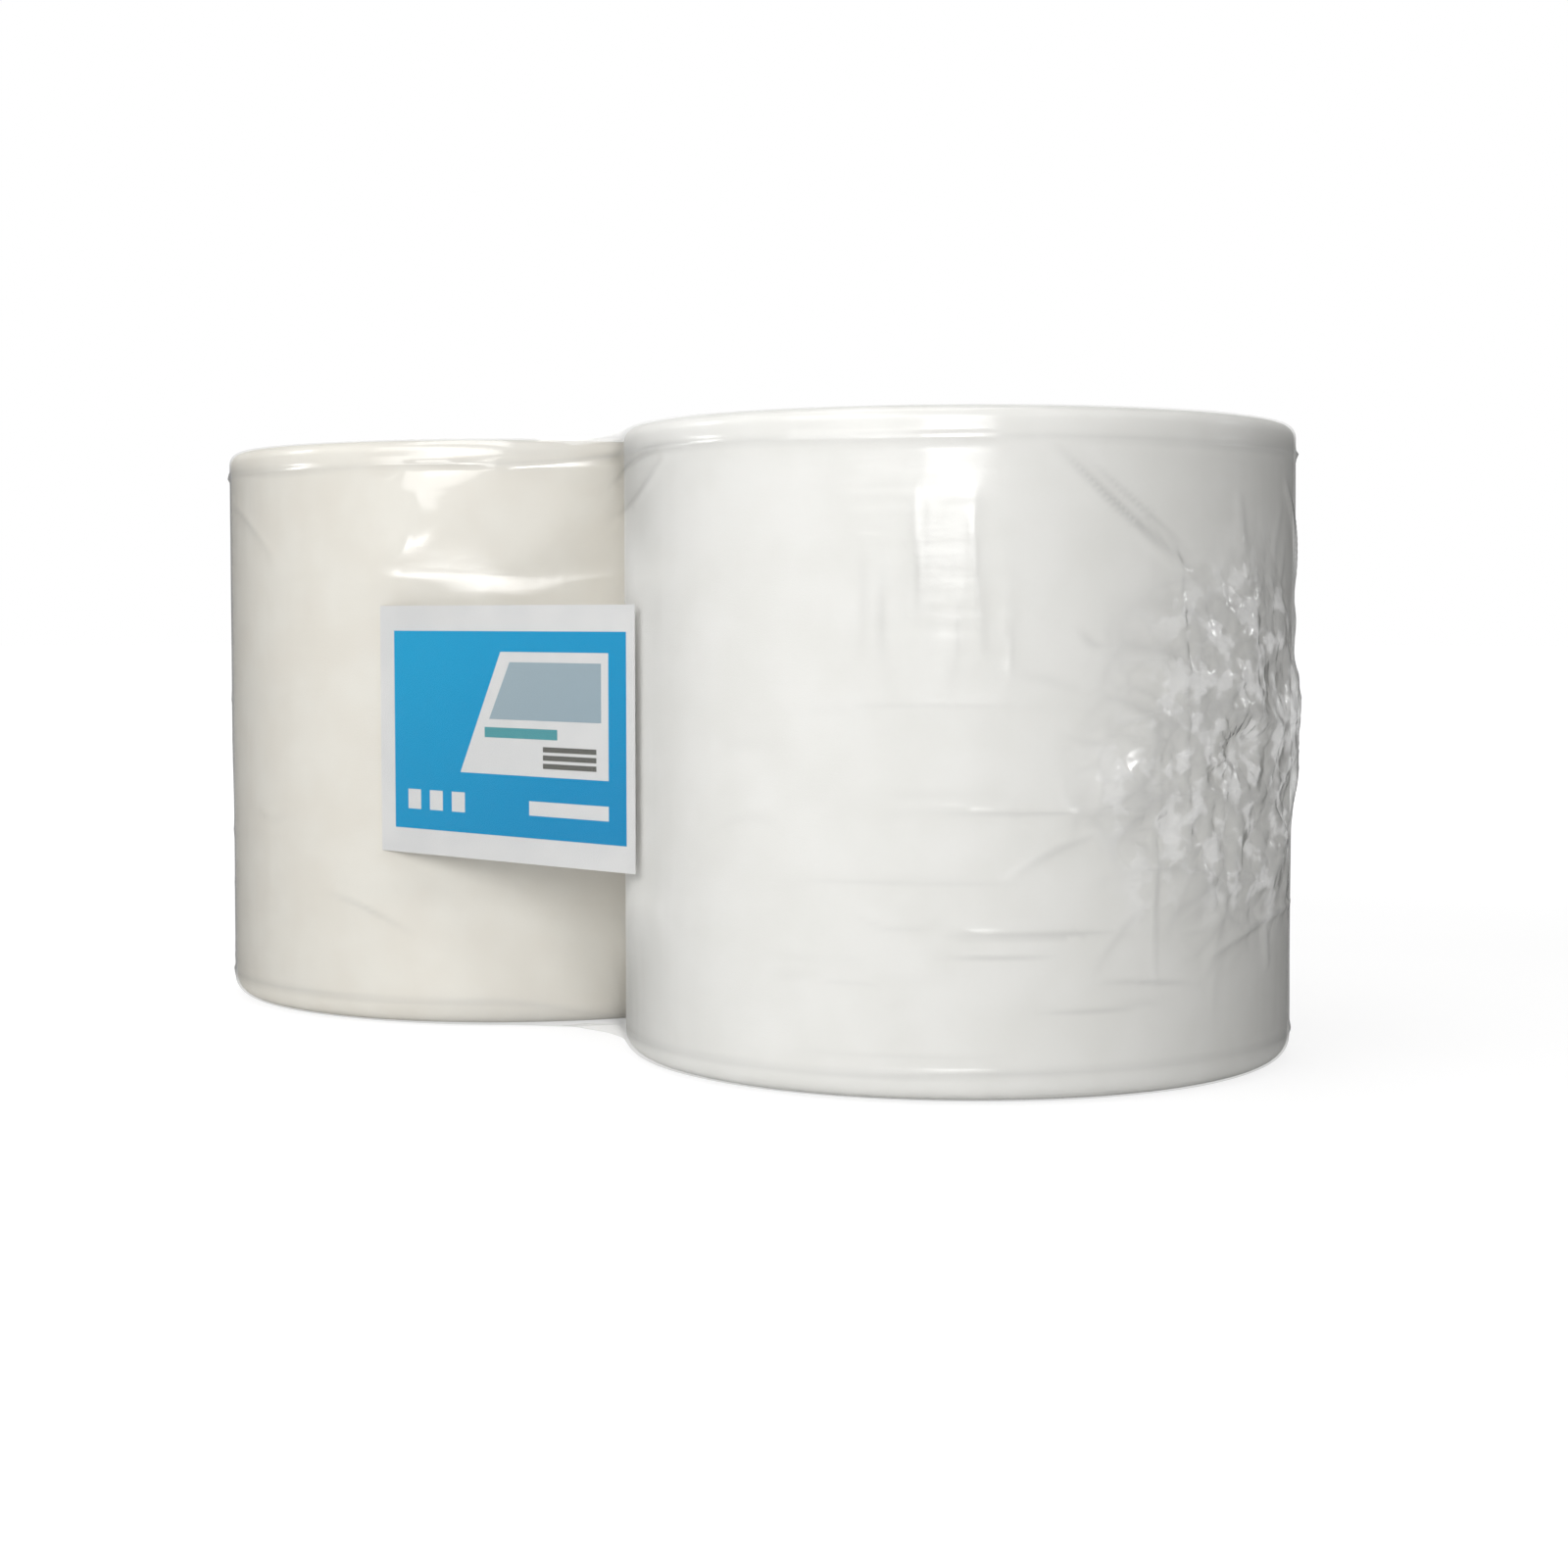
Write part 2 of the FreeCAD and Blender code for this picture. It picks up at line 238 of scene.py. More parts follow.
def crease_noise(places: Array, scale: float, seed: float) -> Array:
    """Flat facets that meet in sharp creases, as in crumpled film.

    Args:
        places: one row for each place.
        scale: how many facets there are in a metre.
        seed: a shift that gives another pattern.

    Returns:
        A value from 0 in the middle of a facet to 1 on a crease, for each place.
    """
    spread = places * scale + seed
    borders = []
    for place in spread.tolist():
        nearest, second = noise.voronoi(Vector(place))[0][:2]
        borders.append(1 - min(1.0, 1.6 * (second - nearest)))
    return np.array(borders)


def step(values: Array, low: float, high: float) -> Array:
    """A smooth rise from 0 at low to 1 at high."""
    share = np.clip((values - low) / (high - low), 0, 1)
    return share * share * (3 - 2 * share)


def bump_at(values: Array, width: float) -> Array:
    """A rounded ridge, 1 where values are 0 and fading over a width."""
    return np.exp(-((values / width) ** 2))


# ---------------------------------------------------------------- working on materials


class Tree:
    """A small hand for building one node tree."""

    def __init__(self, nodes: bpy.types.NodeTree) -> None:
        """Take a node tree and empty it."""
        self.tree = nodes
        nodes.nodes.clear()

    def feed(self, node: bpy.types.Node, inputs: Inputs) -> None:
        """Set or link a node's inputs.

        Args:
            node: the node.
            inputs: a plain value or a socket for each input, by its name or number.
        """
        for name, value in inputs.items():
            if isinstance(value, bpy.types.NodeSocket):
                self.tree.links.new(value, node.inputs[name])
            else:
                node.inputs[name].default_value = value

    def add(self, kind: str, inputs: Inputs | None = None, **values: object) -> bpy.types.Node:
        """Add a node.

        Args:
            kind: the node's type name, without its first word.
            inputs: a plain value or a socket for each input, by its name or number.
            values: its settings by attribute name.

        Returns:
            The node.
        """
        node = self.tree.nodes.new(f"ShaderNode{kind}")
        for name, value in values.items():
            setattr(node, name, value)
        self.feed(node, inputs or {})
        return node

    def split(self, vector: object) -> list[object]:
        """A vector's three numbers."""
        return list(self.add("SeparateXYZ", {0: vector}).outputs)

    def sum(self, operation: str, first: object, second: object = 0.0, third: object = 0.0) -> object:
        """A Math node's result for two or three numbers or sockets."""
        inputs = {0: first, 1: second, 2: third}
        return self.add("Math", inputs, operation=operation).outputs[0]

    def times(self, first: object, second: object) -> object:
        """The product of two numbers or sockets."""
        return self.sum("MULTIPLY", first, second)

    def plus_times(self, first: object, second: object, rest: object) -> object:
        """The product of two numbers or sockets, added to a third."""
        return self.sum("MULTIPLY_ADD", first, second, rest)

    def away_from(self, value: object, middle: object) -> object:
        """How far a number lies from a middle value."""
        return self.sum("ABSOLUTE", self.sum("SUBTRACT", value, middle))

    def blend(self, share: object, first: Colour, second: Colour) -> object:
        """A colour between two colours, or a socket and a colour, by a share."""
        ends = [end if isinstance(end, bpy.types.NodeSocket) else (*end, 1) for end in (first, second)]
        return self.add("Mix", {0: share, 6: ends[0], 7: ends[1]}, data_type="RGBA").outputs[2]

    def spread(
        self, value: object, low: float, high: float, out_low: float = 0.0, out_high: float = 1.0
    ) -> object:
        """A Map Range node's smooth result for one number."""
        inputs = {0: value, 1: low, 2: high, 3: out_low, 4: out_high}
        return self.add("MapRange", inputs, interpolation_type="SMOOTHSTEP").outputs[0]

    def places(self, scale: Place = (1, 1, 1), move: Place = (0, 0, 0)) -> object:
        """Object coordinates, stretched and moved."""
        source = self.add("TexCoord").outputs["Object"]
        return self.add("Mapping", {"Vector": source, "Location": move, "Scale": scale}).outputs[0]

    def grain(self, vector: object, scale: object, detail: float = 2.0, rough: float = 0.5) -> object:
        """A Noise Texture's number."""
        inputs = {"Vector": vector, "Scale": scale, "Detail": detail, "Roughness": rough}
        return self.add("TexNoise", inputs).outputs[0]

    def relief(self, height: object, distance: float) -> object:
        """A Bump node's normal for a height of 0 to 1 over a real distance."""
        return self.add("Bump", {"Height": height, "Distance": distance, "Strength": 1.0}).outputs[0]

    def vector(self, operation: str, inputs: Inputs) -> object:
        """A Vector Math node's number, such as a length."""
        return self.add("VectorMath", inputs, operation=operation).outputs["Value"]

    def show(self, shader: bpy.types.Node, output: str = "OutputMaterial") -> None:
        """Lead a shader to the output."""
        self.add(output, {0: shader.outputs[0]})


def new_material(name: str) -> tuple[Material, Tree]:
    """An empty node material and the hand for its tree."""
    material = bpy.data.materials.new(name)
    material.use_nodes = True
    return material, Tree(material.node_tree)


def dress(piece: Piece, material: Material) -> None:
    """Give a piece one material all over."""
    piece.data.materials.clear()
    piece.data.materials.append(material)


def fibre_group() -> Fibre:
    """The relief that all the paper goods share: loose fibres over soft mottling.

    Returns:
        A node group with Vector, Fibre Scale and Mottle Scale inputs, and Height and Shade outputs.
    """
    group = bpy.data.node_groups.new("paper_fibre", "ShaderNodeTree")
    hand = Tree(group)
    group.interface.new_socket("Vector", in_out="INPUT", socket_type="NodeSocketVector")
    for name in ("Fibre Scale", "Mottle Scale"):
        group.interface.new_socket(name, in_out="INPUT", socket_type="NodeSocketFloat")
    for name in ("Height", "Shade"):
        group.interface.new_socket(name, in_out="OUTPUT", socket_type="NodeSocketFloat")
    taken = group.nodes.new("NodeGroupInput").outputs
    fibre = hand.grain(taken["Vector"], taken["Fibre Scale"], rough=0.6)
    mottle = hand.grain(taken["Vector"], taken["Mottle Scale"])
    height = hand.plus_times(mottle, 0.6, hand.times(fibre, 0.4))
    given = group.nodes.new("NodeGroupOutput")
    hand.feed(given, {"Height": height, "Shade": hand.spread(mottle, 0.3, 0.7)})
    return group


# What marks a surface: it takes a material's hand, colour and height, and gives back the last two.
Mark = Callable[[Tree, object, object], tuple[object, object]]


@dataclass(frozen=True)
class PaperFinish:
    """A matt paper or board surface."""

    name: str
    light: Colour
    shade: Colour
    fibre_scale: float
    mottle_scale: float
    relief: float
    roughness: float
    specular: float = 0.25
    sheen: float = 0.0

    def build(self, fibre: Fibre, mark: Mark | None = None) -> Material:
        """Make the material.

        Args:
            fibre: the shared fibre group.
            mark: changes the colour and the height, where the surface is more than plain paper.

        Returns:
            The material.
        """
        material, hand = new_material(self.name)
        scales = {"Fibre Scale": self.fibre_scale, "Mottle Scale": self.mottle_scale}
        relief = hand.add("Group", {"Vector": hand.places(), **scales}, node_tree=fibre).outputs
        colour, height = hand.blend(relief["Shade"], self.shade, self.light), relief["Height"]
        if mark:
            colour, height = mark(hand, colour, height)
        shader = hand.add("BsdfPrincipled", {
            "Base Color": colour,
            "Normal": hand.relief(height, self.relief),
            "Roughness": self.roughness,
            "Specular IOR Level": self.specular,
            "Sheen Weight": self.sheen,
            "Sheen Roughness": 0.5,
        })
        hand.show(shader)
        return material


# ---------------------------------------------------------------- the paper rolls


@dataclass(frozen=True)
class WoundFinish:
    """A paper surface with marks that run round an upright axis."""

    paper: PaperFinish
    axis_x: float

    def mark(self, hand: Tree, colour: object, height: object) -> tuple[object, object]:
        """Draw the marks; each finish has its own."""
        raise NotImplementedError

    def build(self, fibre: Fibre) -> Material:
        """Make the material, with its marks."""
        return self.paper.build(fibre, self.mark)


@dataclass(frozen=True)
class TissueFinish(WoundFinish):
    """Soft white tissue, with its wound turns showing as fine rings on the ends."""

    turn_pitch: float = 1.5 * MM
    wander: float = 2.5 * MM
    ring_height: float = 0.9
    ring_shade: float = 0.72

    def mark(self, hand: Tree, colour: object, height: object) -> tuple[object, object]:
        """Draw the rings on the ends.

        Args:
            hand: the material's tree.
            colour: the paper's colour.
            height: its relief.

        Returns:
            The colour and the relief with the rings.
        """
        centred = hand.places(move=(-self.axis_x, 0, 0))
        x, y, _ = hand.split(centred)
        away = hand.vector("LENGTH", {0: hand.add("CombineXYZ", {0: x, 1: y}).outputs[0]})
        radius = hand.plus_times(hand.grain(centred, 14.0), self.wander, away)
        wave = hand.sum("SINE", hand.times(radius, 2 * math.pi / self.turn_pitch))
        uneven = hand.grain(hand.places(scale=(1, 1, 0), move=(-self.axis_x, 0, 0)), 60.0)
        rings = hand.times(hand.plus_times(wave, 0.5, 0.5), uneven)
        upward = hand.split(hand.add("NewGeometry").outputs["Normal"])[2]
        on_end = hand.spread(hand.sum("ABSOLUTE", upward), 0.5, 0.9)
        darker = hand.times(on_end, hand.times(rings, 0.5))
        grey = [value * self.ring_shade for value in self.paper.shade]
        height = hand.plus_times(hand.times(rings, on_end), self.ring_height, height)
        return hand.blend(darker, colour, grey), height


@dataclass
class PaperRoll:
    """One wound roll: a thick ring of tissue with soft rims and uneven turns on its ends."""

    side: Side
    finish: TissueFinish
    turns: int = 9
    turn_parts: tuple[float, float, float, float] = (0.05, 0.35, 0.05, 0.55)
    columns: int = 160
    rows: int = 28
    rim_steps: int = 8
    rim_top: float = 5.5 * MM
    rim_base: float = 8.5 * MM
    bore_slack: float = 0.2 * MM
    unevenness: float = 0.15 * MM
    dents: Place = (20, 20, 26)

    def __post_init__(self) -> None:
        """Take the roll's size and place from its node."""
        self.node = f"{self.side.name.lower()}_roll"
        low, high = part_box(self.node)
        core_low, core_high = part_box(f"{self.side.name.lower()}_core")
        self.centre = (low + high) / 2
        self.radius = (high.y - low.y) / 2
        self.width = high.z - low.z
        self.bore = (core_high.y - core_low.y) / 2 + self.bore_slack

    def on_axis(self, centre: Vector) -> bool:
        """Whether a face is centred on the roll's axis."""
        return math.hypot(centre.x - self.centre.x, centre.y - self.centre.y) < MM

    def show_turns(self, piece: Piece, end: End) -> None:
        """Step one end face inwards in rings of uneven height, as turns wound at different pulls."""
        height = self.centre.z + end.value * self.width / 2
        pick(piece, Part.FACE, lambda centre, _: self.on_axis(centre) and abs(centre.z - height) < MM)
        rim = self.rim_top if end is End.TOP else self.rim_base
        wide = (self.radius - rim - self.bore) / self.turns
        for turn in range(self.turns):
            rise = (0.25 + 0.2 * math.sin(5.1 * turn + end.value)) * MM
            for part, depth in zip(self.turn_parts, (-rise, 0, rise, 0)):
                bpy.ops.mesh.inset(thickness=wide * part, depth=depth)
        leave_edit()

    def build(self, fibre: Fibre) -> Piece:
        """Model and dress the roll.

        Args:
            fibre: the shared fibre group.

        Returns:
            The roll.
        """
        sizes = {"vertices": self.columns, "radius": self.radius, "depth": self.width}
        drum = bpy.ops.mesh.primitive_cylinder_add
        piece = add_piece(f"{self.node}_wound", drum, **sizes, location=self.centre)
        for end, rim in ((End.TOP, self.rim_top), (End.BASE, self.rim_base)):
            height = self.centre.z + end.value * self.width / 2
            pick(piece, Part.EDGE, lambda *ends: max(abs(tip.z - height) for tip in ends) < SAME_PLACE)
            bpy.ops.mesh.bevel(offset=rim, segments=self.rim_steps, affect="EDGES")
            leave_edit()
        pick(piece, Part.EDGE, lambda first, second: abs(first.z - second.z) > self.width / 2)
        bpy.ops.mesh.subdivide(number_cuts=self.rows)
        leave_edit()
        for end in End:
            self.show_turns(piece, end)
        pick(piece, Part.FACE, lambda centre, _: self.on_axis(centre))
        bpy.ops.mesh.bridge_edge_loops()
        leave_edit()
        places = read_points(piece)
        inwards = -read_normals(piece)
        dents = 0.5 + 0.5 * soft_noise(places, self.dents, 4.0 * self.side.value)
        write_points(piece, places + inwards * (dents * self.unevenness)[:, None])
        dress(piece, self.finish.build(fibre))
        close_piece(piece, SHARP_EDGE)
        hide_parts(self.node)
        return piece


@dataclass(frozen=True)
class BoardFinish(WoundFinish):
    """Brown wound board, with the spiral joints of its strips."""

    strip: float = 70 * MM
    joint_share: float = 0.012
    joint_height: float = -0.8
    joint_shade: float = 0.5

    def mark(self, hand: Tree, colour: object, height: object) -> tuple[object, object]:
        """Draw the joints of the strips.

        Args:
            hand: the material's tree.
            colour: the board's colour.
            height: its relief.

        Returns:
            The colour and the relief with the joints.
        """
        x, y, z = hand.split(hand.places(move=(-self.axis_x, 0, 0)))
        turn = hand.sum("DIVIDE", hand.sum("ARCTAN2", y, x), 2 * math.pi)
        along = hand.sum("FRACT", hand.sum("ADD", turn, hand.sum("DIVIDE", z, self.strip)))
        joint = hand.sum("LESS_THAN", hand.away_from(along, 0.5), self.joint_share)
        dark = [value * self.joint_shade for value in self.paper.shade]
        return hand.blend(joint, colour, dark), hand.plus_times(joint, self.joint_height, height)


@dataclass
class WindingCore:
    """The board tube in the middle of one roll."""

    side: Side
    finish: BoardFinish
    wall: float = 2.5 * MM
    rounding: float = 0.5 * MM
    rounding_steps: int = 2
    columns: int = 96

    def build(self, fibre: Fibre) -> Piece:
        """Model and dress the tube.

        Args:
            fibre: the shared fibre group.

        Returns:
            The tube.
        """
        node = f"{self.side.name.lower()}_core"
        low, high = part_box(node)
        radius, depth = (high.y - low.y) / 2, high.z - low.z
        sizes = {"vertices": self.columns, "radius": radius, "depth": depth}
        drum = bpy.ops.mesh.primitive_cylinder_add
        piece = add_piece(f"{node}_tube", drum, **sizes, location=(low + high) / 2)
        pick(piece, Part.FACE, lambda place, normal: abs(normal.z) > 0.9)
        bpy.ops.mesh.inset(thickness=self.wall)
        bpy.ops.mesh.bridge_edge_loops()
        leave_edit()
        edges = piece.modifiers.new("soft_edges", "BEVEL")
        edges.width = self.rounding
        edges.segments = self.rounding_steps
        edges.limit_method = "ANGLE"
        edges.angle_limit = math.radians(60)
        bpy.ops.object.modifier_apply(modifier=edges.name)
        dress(piece, self.finish.build(fibre))
        close_piece(piece, SHARP_EDGE)
        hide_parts(node)
        return piece


# ---------------------------------------------------------------- the label


@dataclass(frozen=True)
class InkFinish:
    """A printed field on satin paper, its colour darker towards the label's right and bottom."""

    name: str
    stock: PaperFinish
    ink: Colour
    deep: Colour
    low_corner: Place
    high_corner: Place

    def mark(self, hand: Tree, _: object, height: object) -> tuple[object, object]:
        """Make the colour darker towards the label's right and bottom; the relief stays."""
        x, _, z = hand.split(hand.places())
        across = hand.spread(x, self.low_corner[0], self.high_corner[0], 0.0, 0.5)
        down = hand.spread(z, self.high_corner[2], self.low_corner[2], 0.0, 0.5)
        return hand.blend(hand.sum("ADD", across, down), self.ink, self.deep), height

    def build(self, fibre: Fibre) -> Material:
        """Make the material, with its ink."""
        inked = replace(self.stock, name=self.name, light=self.ink, shade=self.ink, mottle_scale=60.0)
        return replace(inked, relief=0.02 * MM, roughness=0.45, specular=0.1).build(fibre, self.mark)


@dataclass
class PackLabel:
    """The flat label under the film: its own paper sheet and printed fields, dressed."""

    paper: PaperFinish
    inks: dict[str, tuple[Colour, Colour]]

    def build(self, fibre: Fibre) -> int:
        """Dress the label's nodes.

        Args:
            fibre: the shared fibre group.

        Returns:
            How many nodes were dressed.
        """
        dress(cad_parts["label_sheet"], self.paper.build(fibre))
        low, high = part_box("label_sheet")
        for node, (ink, deep) in self.inks.items():
            finish = InkFinish(f"{node}_ink", self.paper, ink, deep, tuple(low), tuple(high))
            dress(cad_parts[node], finish.build(fibre))
        return 1 + len(self.inks)


# ---------------------------------------------------------------- the film


@dataclass(frozen=True)
class FilmFinish:
    """Clear glossy film that darkens where it turns away and is milky where it is bunched; it carries
    painted shade in its creases and at the drawn-in ends of the web, and painted light that holds back
    the darkening at the top rim, the foot and on the web.
    """

    name: str = "shrink_film_clear"
    tint: Colour = (0.985, 0.985, 0.98)
    edge_tint: Colour = (0.38, 0.38, 0.375)
    shine: float = 0.06
    edge_shine: float = 0.03
    crease_shine: float = 0.07
    # Painted shade: how much the creases darken the see-through colour.
    crease_shade: float = 0.36
    bunched_shine: float = 0.3
    web_shine: float = 0.06
    label_shine: float = 0.02
    # Share of the grazing darkening kept on the web; below 1 it is painted light that lightens the
    # valley between the rolls.
    web_painted_light_edge: float = 0.0
    end_shine: float = 0.05
    # Painted shade at the drawn-in ends of the web between the rolls.
    web_shade: float = 0.08
    # Shares of the grazing darkening kept at the top rim and at the foot; below 1 they are painted
    # light there.
    rim_painted_light_edge: float = 0.12
    foot_painted_light_edge: float = 0.2
    metallic: float = 0.7
    roughness: float = 0.21
    relief: float = 0.6 * MM
    level_scale: float = 16.0
    upright_scale: float = 120.0
    loose_scale: float = 26.0
    crumple_scale: float = 85.0
    facet_scale: float = 105.0
    crumple_relief: float = 2.4
    specks: tuple[float, float, float] = (0.46, 0.62, 0.15)
    bunched_wander: float = 50 * MM

    def bunched(self, hand: Tree, places: object, film: "ShrinkFilm") -> object:
        """A mask that is 1 where the film is gathered at the pack's ends."""
        nearest = film.height
        for middle in film.gather_middles().values():
            nearest = hand.sum("MINIMUM", nearest, hand.vector("DISTANCE", {0: places, 1: middle}))
        wander = hand.plus_times(hand.grain(places, 30.0, detail=1.0), self.bunched_wander, nearest)
        return hand.spread(wander, film.gather_reach * 0.75, film.gather_reach * 1.25, 1.0, 0.0)

    def webbed(self, hand: Tree, places: object, film: "ShrinkFilm") -> tuple[object, object]:
        """Masks for the web between the rolls.

        Args:
            hand: the material's tree.
            places: the places' socket.
            film: the film that the masks are for.

        Returns:
            A mask that is 1 on the web but not over the label, and one that is 1 at its drawn-in ends.
        """
        x, _, z = hand.split(places)
        across = hand.sum("ABSOLUTE", hand.sum("ADD", x, film.axis * 0.2))
        inside = hand.spread(across, film.axis * 0.1, film.axis * 0.6, 1.0, 0.0)
        half = film.label_half_height
        bare = hand.spread(hand.away_from(z, film.middle), half + 3 * MM, half + 30 * MM)
        far = hand.spread(hand.away_from(z, film.height / 2), film.height * 0.42, film.height * 0.49)
        return hand.times(inside, bare), hand.times(inside, far)

    def clinging(self, hand: Tree, places: object, film: "ShrinkFilm") -> object:
        """A mask that is 1 where the film lies tight on the label."""
        x, y, z = hand.split(places)
        mask = hand.spread(y, -2 * MM, 0.0, 1.0, 0.0)
        for value, middle, half in (
            (x, film.label_across, film.label_half_width),
            (z, film.middle, film.label_half_height),
        ):
            away = hand.away_from(value, middle)
            mask = hand.times(mask, hand.spread(away, half - 2 * MM, half + 1 * MM, 1.0, 0.0))
        return mask

    def build(self, film: "ShrinkFilm") -> Material:
        """Make the material.

        Args:
            film: the film that it is for.

        Returns:
            The material.
        """
        material, hand = new_material(self.name)
        places = hand.places()
        level = hand.grain(hand.places(scale=(1, 1, 9)), self.level_scale)
        upright = hand.grain(hand.places(scale=(1, 1, 0.07)), self.upright_scale, detail=1.0)
        loose = hand.grain(places, self.loose_scale, rough=0.55)
        height = hand.plus_times(level, 0.35, hand.times(upright, 0.22))
        height = hand.plus_times(loose, 0.6, height)
        bunched = self.bunched(hand, places, film)
        facets = hand.add("TexVoronoi", {"Vector": places, "Scale": self.facet_scale}, feature="F1")
        crumple = hand.grain(places, self.crumple_scale, rough=0.55)
        milky = hand.times(bunched, hand.spread(crumple, *self.specks))
        crumple = hand.sum("SUBTRACT", crumple, facets.outputs["Distance"])
        height = hand.plus_times(hand.times(crumple, bunched), self.crumple_relief, height)
        normal = hand.relief(height, self.relief)
        facing = hand.add("LayerWeight", {"Blend": 0.5, "Normal": normal}).outputs["Facing"]
        crease = hand.add("Attribute", attribute_name="crease").outputs["Fac"]
        webbed, drawn_in = self.webbed(hand, places, film)
        up = hand.split(places)[2]
        # Painted light: the grazing darkening is mostly held back over the top rim and the foot, so
        # both read lighter.
        rim = hand.spread(up, film.height - 2 * film.shoulder, film.height, 1.0, self.rim_painted_light_edge)
        foot = hand.spread(up, film.foot * 0.3, film.foot * 1.5, self.foot_painted_light_edge, 1.0)
        # turned holds how much darker the see-through colour gets: where the film turns away from view,
        # less of it under painted light at the rim, the foot and on the web, and more of it as painted
        # shade in the creases and at the drawn-in ends.
        turned = hand.times(hand.sum("POWER", facing, 2.2), hand.times(rim, foot))
        # Painted light: the grazing darkening is taken away on the web, so the valley between the rolls
        # reads lighter.
        turned = hand.times(turned, hand.spread(webbed, 0.0, 1.0, 1.0, self.web_painted_light_edge))
        # Painted shade: the creases darken the see-through colour.
        turned = hand.plus_times(crease, self.crease_shade, turned)
        # Painted shade: the drawn-in ends of the web are darkened.
        turned = hand.sum("MINIMUM", hand.plus_times(drawn_in, self.web_shade, turned), 1.0)
        clear = hand.add("BsdfTransparent", {0: hand.blend(turned, self.tint, self.edge_tint)})
        skin = hand.add("BsdfPrincipled", {
            "Base Color": (1, 1, 1, 1),
            "Metallic": self.metallic,
            "Normal": normal,
            "Roughness": hand.spread(loose, 0.2, 0.8, self.roughness * 0.8, self.roughness * 1.3),
        })
        share = hand.spread(self.clinging(hand, places, film), 0.0, 1.0, self.shine, self.label_shine)
        for mask, shine in (
            (turned, self.edge_shine),
            (milky, self.bunched_shine),
            (webbed, self.web_shine),
            (drawn_in, self.end_shine),
            (crease, self.crease_shine),
        ):
            share = hand.plus_times(mask, shine, share)
        hand.show(hand.add("MixShader", {0: share, 1: clear.outputs[0], 2: skin.outputs[0]}))
        return material


@dataclass(frozen=True)
class Fold:
    """One fold in the film, as a line on the unrolled skin of one roll.

    Attributes:
        side: the roll.
        start: where it begins, as degrees from the front towards +X, and height.
        end: where it ends.
        rise: how far it stands out at its middle; below 0, how far it sinks.
        width: half its width.
        bow: how far its middle swings sideways.
    """

    side: Side
    start: tuple[float, float]
    end: tuple[float, float]
    rise: float
    width: float
    bow: float = 0.0

    def shape(self, around: Array, height: Array, radius: float) -> Array:
        """How much of the fold's rise there is at many places, from 0 to 1.

        Args:
            around: the places' distances round the roll from its front.
            height: their heights.
            radius: the skin's radius.

        Returns:
            The share of the rise at each place.
        """
        first = np.array([math.radians(self.start[0]) * radius, self.start[1]])
        run = np.array([math.radians(self.end[0]) * radius, self.end[1]]) - first
        length = float(np.hypot(*run))
        across = np.array([-run[1], run[0]]) / length
        from_first = np.stack([around, height], axis=1) - first
        share = from_first @ run / length**2
        taper = np.sin(math.pi * np.clip(share, 0, 1))
        away = from_first @ across - self.bow * taper
        return np.sqrt(taper) * bump_at(away, self.width)


# Each fold's start and end, as degrees from the front and mm up, then its rise, width and bow in mm.
SINGLE_FOLDS = {
    Side.RIGHT: (
        (53, 250, 79, 197, 2.1, 2.3, -1.5), (58, 245, 80, 206, -0.6, 2.0, -1),
        (75.5, 211, 77.5, 92, 1.4, 1.6, 1), (71.5, 128, 72.5, 42, 1.1, 1.4, 0),
        (82, 52, 120, 66, 1.5, 2.0, 5), (108, 236, 122, 196, 1.6, 2.4, 3),
        (36, 64, 70, 63.5, 0.8, 1.5, 1), (34, 57, 60, 57, 0.6, 1.5, -1),
        (30, 109, 80, 108, 0.5, 1.6, 1), (60, 45, 82, 42, 0.7, 1.6, 1),
        (50, 36, 76, 38, 0.6, 1.6, -2), (-40, 236, -8, 250, 0.9, 2.0, 3),
        (-36, 222, -14, 246, 0.8, 2.2, -3),
    ),
    Side.LEFT: (
        (26, 246, 37, 224, 1.6, 11, -3), (28, 223, 56, 219, 2.6, 15, 0),
        (28, 187, 54, 188, 0.8, 8, 0), (-30, 238, -2, 205, 0.7, 2.6, 6),
        (8, 60, 30, 38, 0.5, 2.4, 3),
    ),
}


